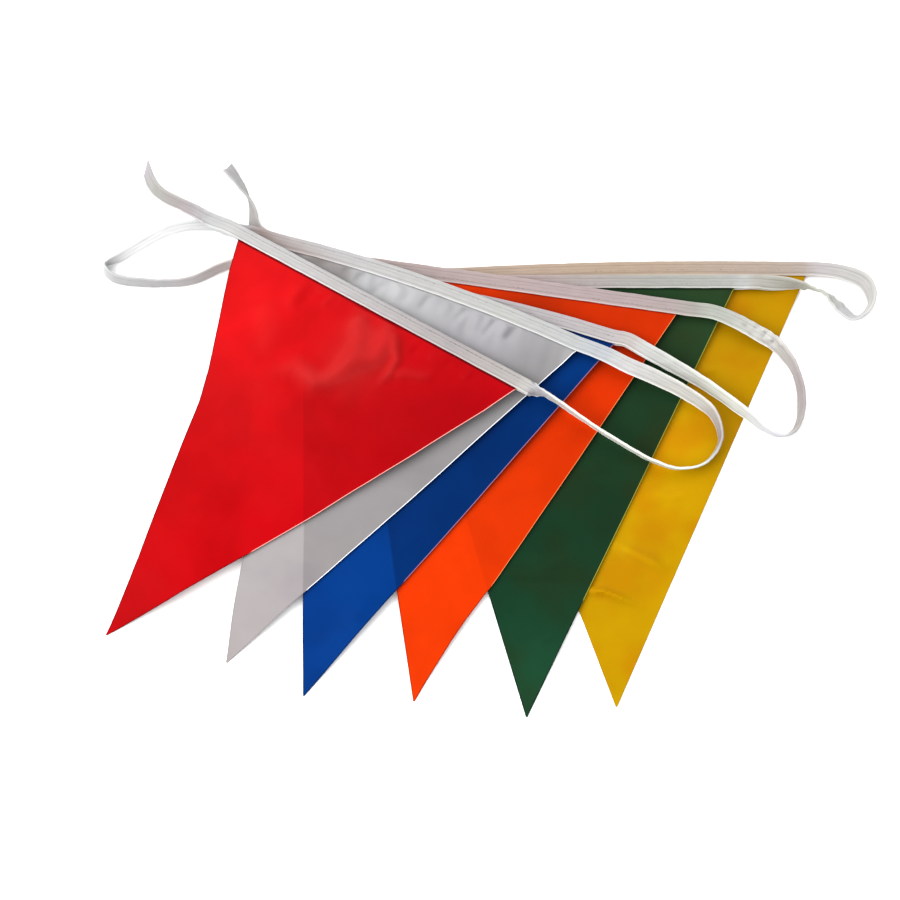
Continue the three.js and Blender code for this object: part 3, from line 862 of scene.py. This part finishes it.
def folded_tape(sections):
    outlines = [tape_outline(full) for full in sections["full"]]
    ring = np.array([np.concatenate([outside, inside[::-1]]) for outside, inside in outlines])
    points = tape_points(sections, ring)
    faces = tape_faces(*ring.shape[:2])
    piece = mesh_object("tape", points.reshape(-1, 3), faces, smooth_angle=50)
    colours = tape_colours(sections, ring, points)
    set_colours(piece, "tape_colour", colours.reshape(-1, 3))
    set_values(piece, "from_edge", TAPE_WIDTH / 2 - ring[..., 0] - TAPE_OVERLAP * (ring[..., 1] < 0))
    set_values(piece, "along", np.repeat(sections["at"][:, None], ring.shape[1], axis=1))
    set_values(piece, "across", ring[..., 0])
    piece.data.materials.append(tape_material())
    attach(piece, "root")
    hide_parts("header_tape")
    return piece


def thread_bead(rings=5, sides=8):
    """Points and faces of one stitch's thread, a slim bead that lies along the first axis."""
    points = []
    for i in range(rings + 1):
        slope = math.pi * i / rings - math.pi / 2
        for k in range(sides):
            turn = 2 * math.pi * k / sides
            round_it = (math.cos(slope) * math.cos(turn), math.cos(slope) * math.sin(turn))
            points.append((math.sin(slope), *round_it))
    points = np.array(points) * (STITCH_LENGTH / 2, THREAD_RADIUS, THREAD_RADIUS)
    index = np.arange(len(points)).reshape(rings + 1, sides)
    return points, grid_faces(index, closed_rows=True)


def section_value(sections, key, at):
    """What the sections have under this key at a distance along the tape."""
    return np.array([np.interp(at, sections["at"], sections[key][:, k]) for k in range(3)])


def stitching(sections):
    """One bead of thread for each stitch, on both outsides of every heading."""
    bead, bead_faces = thread_bead()
    points = []
    faces = []
    colours = []
    random = np.random.default_rng(THREAD_SEED)
    for pennant in PENNANTS:
        own = np.flatnonzero((sections["name"] == pennant["name"]) & (sections["full"] > FULL_FROM))
        first = sections["at"][own[0]]
        last = sections["at"][own[-1]]
        place = metres(SEAM_FROM_FOLD[pennant["name"]]) - TAPE_WIDTH / 2
        rise = half_thickness(place, 1.0)
        for at in np.arange(first + STITCH_PITCH, last - STITCH_PITCH / 2, STITCH_PITCH):
            keys = ("centre", "tangent", "width", "face", "colour")
            centre, tangent, width, face, colour = (section_value(sections, key, at) for key in keys)
            colour = colour * THREAD_TONES[pennant["name"]] * random.uniform(*THREAD_UNEVENNESS)
            local = bead @ np.array([tangent, width, face])
            for side in (-1, 1):
                faces.append(bead_faces + len(points) * len(bead))
                points.append(local + (centre + width * place + face * side * (rise - THREAD_SINKS)))
                colours.append(np.tile(colour, (len(bead), 1)))
    points = np.concatenate(points)
    points[:, :2] += SHIFT
    piece = mesh_object("stitching", points, np.concatenate(faces), smooth_angle=80)
    set_colours(piece, "thread_colour", np.concatenate(colours))
    piece.data.materials.append(thread_material())
    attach(piece, "root")
    return piece


# ---- Materials ----

# Sockets of the Mix node that hold colours
MIX_COLOUR_A = 6
MIX_COLOUR_B = 7
MIX_COLOUR_OUT = 2


class Nodes:
    """Adds nodes to one material."""

    def __init__(self, name):
        self.material = bpy.data.materials.new(name)
        self.material.use_nodes = True
        self.tree = self.material.node_tree
        self.shader = self.tree.nodes["Principled BSDF"]

    def add(self, kind, inputs=None, **settings):
        node = self.tree.nodes.new(kind)
        for key, value in settings.items():
            setattr(node, key, value)
        for key, value in (inputs or {}).items():
            self.put(node.inputs[key], value)
        return node

    def put(self, socket, value):
        if isinstance(value, bpy.types.NodeSocket):
            self.tree.links.new(value, socket)
        else:
            socket.default_value = value

    def finish(self, **values):
        """Sets the shader's sockets, and returns the material."""
        for name, value in values.items():
            self.put(self.shader.inputs[name.replace("_", " ")], value)
        return self.material

    def math(self, operation, a, b=0.0):
        return self.add("ShaderNodeMath", {0: a, 1: b}, operation=operation).outputs[0]

    def attribute(self, name, output="Fac"):
        return self.add("ShaderNodeAttribute", attribute_name=name).outputs[output]

    def object_place(self):
        return self.add("ShaderNodeTexCoord").outputs["Object"]

    def ramp(self, value, low, high, to_low, to_high):
        return self.add("ShaderNodeMapRange", {0: value, 1: low, 2: high, 3: to_low, 4: to_high},
                        interpolation_type="SMOOTHSTEP").outputs[0]

    def scaled(self, colour, factor):
        """A colour, made lighter or darker by a factor that varies over the surface."""
        return self.add("ShaderNodeVectorMath", {0: colour, "Scale": factor}, operation="SCALE").outputs[0]

    def multiplied(self, vector, factors):
        return self.add("ShaderNodeVectorMath", {0: vector, 1: factors}, operation="MULTIPLY").outputs[0]

    def mixed(self, factor, colour, other):
        colours = {0: factor, MIX_COLOUR_A: colour, MIX_COLOUR_B: other}
        return self.add("ShaderNodeMix", colours, data_type="RGBA").outputs[MIX_COLOUR_OUT]

    def noise(self, place, scale, detail=2.0, stretch=None):
        if stretch:
            place = self.multiplied(place, stretch)
        return self.add("ShaderNodeTexNoise", {"Vector": place, "Scale": scale, "Detail": detail}).outputs[0]

    def bump(self, height, strength, distance, normal=None):
        node = self.add("ShaderNodeBump", {"Height": height, "Strength": strength, "Distance": distance})
        if normal:
            self.put(node.inputs["Normal"], normal)
        return node.outputs[0]


def showing_through(nodes, place, colour, other, change):
    """The colour, changed past the left edge of another pennant, and less so towards the tape."""
    tip = np.array(other["tip"]) + SHIFT
    corner = np.array(other["left"]) + SHIFT
    side = np.array([corner[1] - tip[1], tip[0] - corner[0]]) / np.linalg.norm(corner - tip)
    past = nodes.add("ShaderNodeVectorMath", {0: place, 1: (*side, 0)}, operation="DOT_PRODUCT")
    past = nodes.ramp(past.outputs["Value"], side @ tip - SHOWN_BLUR, side @ tip + SHOWN_BLUR, 0.0, 1.0)
    height = nodes.add("ShaderNodeSeparateXYZ", {0: place}).outputs["Y"]
    close = nodes.ramp(height, SHOWN_FULLY_BELOW + SHIFT[1], SHOWN_LEAST_ABOVE + SHIFT[1], 1.0, SHOWN_LEAST)
    shown = nodes.math("MULTIPLY", past, close)
    return nodes.scaled(colour, nodes.math("ADD", nodes.math("MULTIPLY", shown, change - 1), 1.0))


def film_material(pennant):
    """Slightly see-through plastic film: mottled, painted light and shade on its cut edges, shade below the
    tape.
    """
    name = pennant["name"]
    nodes = Nodes("film_" + name)
    place = nodes.object_place()
    colour = nodes.attribute("film_colour", "Color")
    for other in PENNANTS:
        if (name, other["name"]) in SHOWS_THROUGH:
            colour = showing_through(nodes, place, colour, other, SHOWS_THROUGH[name, other["name"]])
    clouds = nodes.ramp(nodes.noise(place, 26.0), 0.44, 0.66, 0.0, 1.0)
    colour = nodes.mixed(clouds, colour, nodes.multiplied(colour, CLOUD_TINTS[name]))
    mottling = nodes.noise(place, 60.0, detail=3.0)
    colour = nodes.scaled(colour, nodes.ramp(mottling, 0.25, 0.75, 0.97, 1.03))
    # Painted highlight and painted shade along the cut edges
    rim = nodes.attribute("rim")
    _, dark_tone, light_colour = RIMS[name]
    colour = nodes.mixed(nodes.ramp(rim, 0.3, 0.7, 0.0, 0.9), colour, (*linear(light_colour), 1.0))
    colour = nodes.scaled(colour, nodes.ramp(rim, -0.3, -0.05, dark_tone, 1.0))
    # Painted shade of the tape on the film just below it
    tape_shade = nodes.ramp(nodes.attribute("below_tape"), *TAPE_SHADE_REACH, TAPE_SHADE_TONES[name], 1.0)
    colour = nodes.scaled(colour, tape_shade)
    smudges = nodes.noise(place, 90.0)
    wrinkles = nodes.bump(nodes.noise(place, 70.0, stretch=(1.0, 0.6, 1.0)), 0.10, 0.0006)
    grain = nodes.noise(place, 1400.0, detail=1.0)
    return nodes.finish(
        Base_Color=colour,
        Roughness=nodes.ramp(smudges, 0.3, 0.7, 0.36, 0.42),
        Specular_IOR_Level=0.015,
        Normal=nodes.bump(grain, 0.10, 0.0001, wrinkles),
    )


def tape_material():
    """Plain-woven white tape with a soft sheen, painted shade along its grooves and painted highlights on
    its edges.
    """
    nodes = Nodes("tape_cloth")
    along = nodes.attribute("along")
    across = nodes.attribute("across")
    place = nodes.add("ShaderNodeCombineXYZ", {0: along, 1: across}).outputs[0]
    warp = nodes.math("SINE", nodes.math("MULTIPLY", along, 2 * math.pi / WARP_PITCH))
    weft = nodes.math("SINE", nodes.math("MULTIPLY", across, 2 * math.pi / WEFT_PITCH))
    weave = nodes.math("MULTIPLY", warp, weft)
    colour = nodes.attribute("tape_colour", "Color")
    colour = nodes.scaled(colour, nodes.ramp(weave, -1.0, 1.0, 0.95, 1.02))
    streaks = nodes.noise(place, 120.0, detail=3.0, stretch=(1.0, 6.0, 1.0))
    colour = nodes.scaled(colour, nodes.ramp(streaks, 0.3, 0.7, 0.95, 1.04))
    # Painted shade along each groove
    for at, depth in GROOVES:
        line = nodes.math("ABSOLUTE", nodes.math("SUBTRACT", across, at))
        darkest = 1.0 - depth * GROOVE_DARKNESS
        colour = nodes.scaled(colour, nodes.ramp(line, 0.0, GROOVE_SHADOW, darkest, 1.0))
    # Painted highlights along the open edge and the fold
    colour = nodes.scaled(colour, nodes.ramp(nodes.attribute("from_edge"), *BRIGHT_EDGE, 1.0))
    return nodes.finish(
        Base_Color=nodes.scaled(colour, nodes.ramp(across, *BRIGHT_FOLD, 1.0)),
        Roughness=0.62,
        Specular_IOR_Level=0.35,
        Sheen_Weight=0.12,
        Normal=nodes.bump(weave, 0.5, 0.00008),
    )


def thread_material():
    nodes = Nodes("thread")
    twist = nodes.noise(nodes.object_place(), 2600.0, detail=1.0)
    colour = nodes.scaled(nodes.attribute("thread_colour", "Color"), nodes.ramp(twist, 0.3, 0.7, 0.8, 1.1))
    return nodes.finish(Base_Color=colour, Roughness=0.55, Normal=nodes.bump(twist, 0.4, 0.0001))


def floor_material():
    return Nodes("floor").finish(Base_Color=(0.93, 0.93, 0.93, 1), Roughness=0.9, Specular_IOR_Level=0.1)


# ---- Camera, light and floor ----

def add_camera(aim):
    data = bpy.data.cameras.new("camera")
    data.lens = 50
    data.sensor_width = 36
    camera = bpy.data.objects.new("camera", data)
    back = Vector(CAMERA_BACK).normalized()
    right = Vector((0, 1, 0)).cross(back).normalized()
    turn = Matrix((right, back.cross(right), back)).transposed()
    camera.matrix_world = Matrix.Translation(aim + back * CAMERA_DISTANCE) @ turn.to_4x4()
    bpy.context.scene.collection.objects.link(camera)
    bpy.context.scene.camera = camera


def add_light(name, direction, size, power, colour, aim):
    data = bpy.data.lights.new(name, "AREA")
    data.shape = "DISK"
    data.size = size
    data.energy = power
    data.color = colour
    light = bpy.data.objects.new(name, data)
    back = Vector(direction).normalized()
    light.location = aim + back * LIGHT_DISTANCE
    light.rotation_euler = back.to_track_quat("Z", "Y").to_euler()
    bpy.context.scene.collection.objects.link(light)


def add_world():
    """A plain studio that is brightest overhead."""
    world = bpy.data.worlds.new("studio")
    bpy.context.scene.world = world
    world.use_nodes = True
    nodes = world.node_tree.nodes
    links = world.node_tree.links
    background = nodes["Background"]
    background.inputs["Color"].default_value = (0.99, 0.995, 1.0, 1)
    split = nodes.new("ShaderNodeSeparateXYZ")
    brightness = nodes.new("ShaderNodeMapRange")
    brightness.interpolation_type = "SMOOTHSTEP"
    links.new(nodes.new("ShaderNodeTexCoord").outputs["Generated"], split.inputs[0])
    links.new(split.outputs["Z"], brightness.inputs["Value"])
    for socket, value in STUDIO_BRIGHTNESS.items():
        brightness.inputs[socket].default_value = value
    links.new(brightness.outputs[0], background.inputs["Strength"])


def add_studio(aim):
    bpy.context.scene.view_settings.view_transform = "Standard"
    add_world()
    for row in LIGHTS:
        add_light(*row, aim)
    corners = np.array([(-1, -1, 0), (1, -1, 0), (1, 1, 0), (-1, 1, 0)]) * FLOOR_REACH
    floor = mesh_object("floor", corners, np.array([[0, 1, 2, 3]]))
    floor.data.materials.append(floor_material())


# ---- Building ----


AIM = Vector((SHIFT[0], SHIFT[1], 0))
add_camera(AIM)
add_studio(AIM)

BELOW_FILMS = ["film_" + pennant["name"] for pennant in PENNANTS[1:]] + ["floor"]
for pennant, below in zip(PENNANTS, BELOW_FILMS):
    film_sheet(pennant)

SECTIONS = tape_sections()
tape = folded_tape(SECTIONS)
stitches = stitching(SECTIONS)
